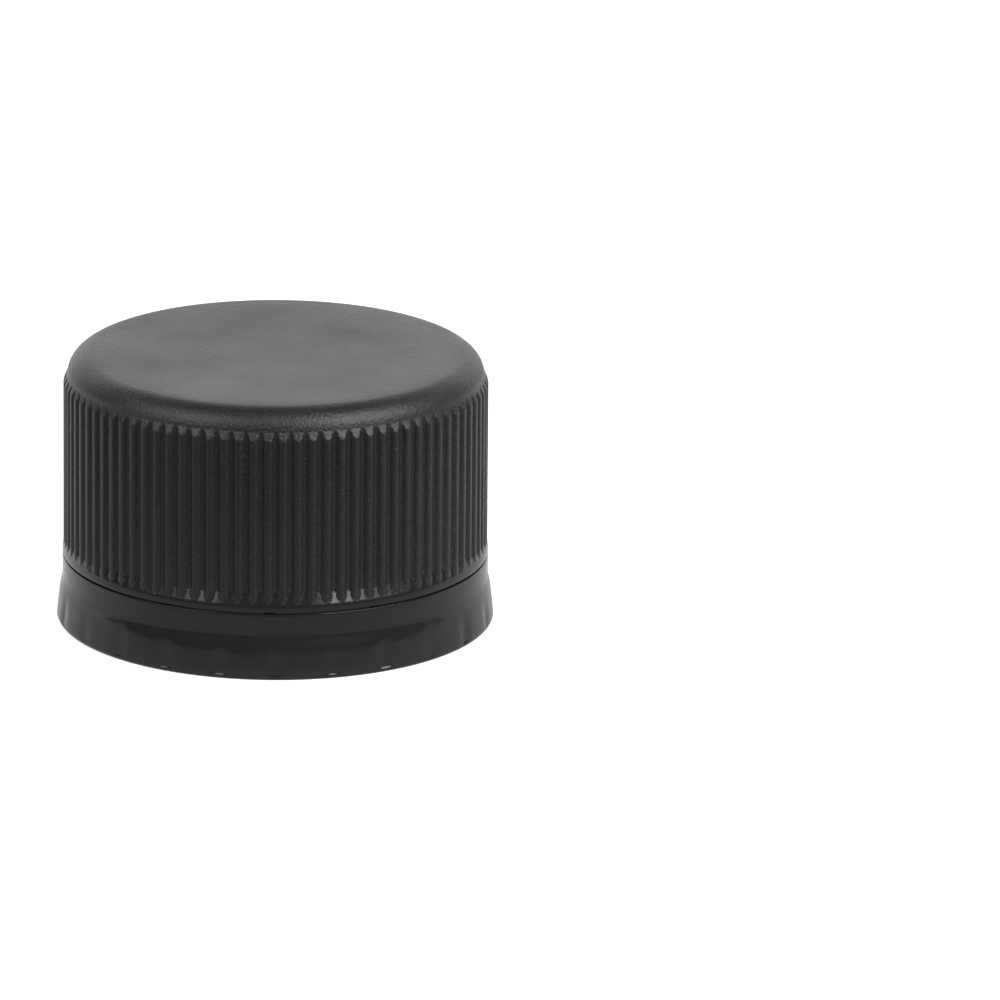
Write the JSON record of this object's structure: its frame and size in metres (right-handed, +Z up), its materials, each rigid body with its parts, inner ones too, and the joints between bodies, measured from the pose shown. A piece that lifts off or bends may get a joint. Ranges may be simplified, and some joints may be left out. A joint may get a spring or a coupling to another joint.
{
  "type": "tamper-evident screw cap",
  "caption": "Moulded screw cap with fine vertical ribs, an internal thread, a foam liner and a break-away tamper-evident band with ratchet fins.",
  "frame": {"origin": "centre of the lower face of the open rim, on the cap's axis", "axes": "+Z up along the cap's axis, from the open rim to the top panel; +X and +Y lie in the plane of the rim, and the split slots in the band are at 133 degrees from +X towards +Y"},
  "size_m": [0.0308, 0.0308, 0.0192],
  "materials": {
    "black_plastic": "moulded black polypropylene: fine spark-eroded grain on the top panel, satin ribs, polished neck and band",
    "white_foam": "smooth white foamed polyethylene wad with a faint soft grain"
  },
  "bodies": {
    "root": {"cap_shell": "black_plastic", "liner": "white_foam"}
  },
  "joints": []
}
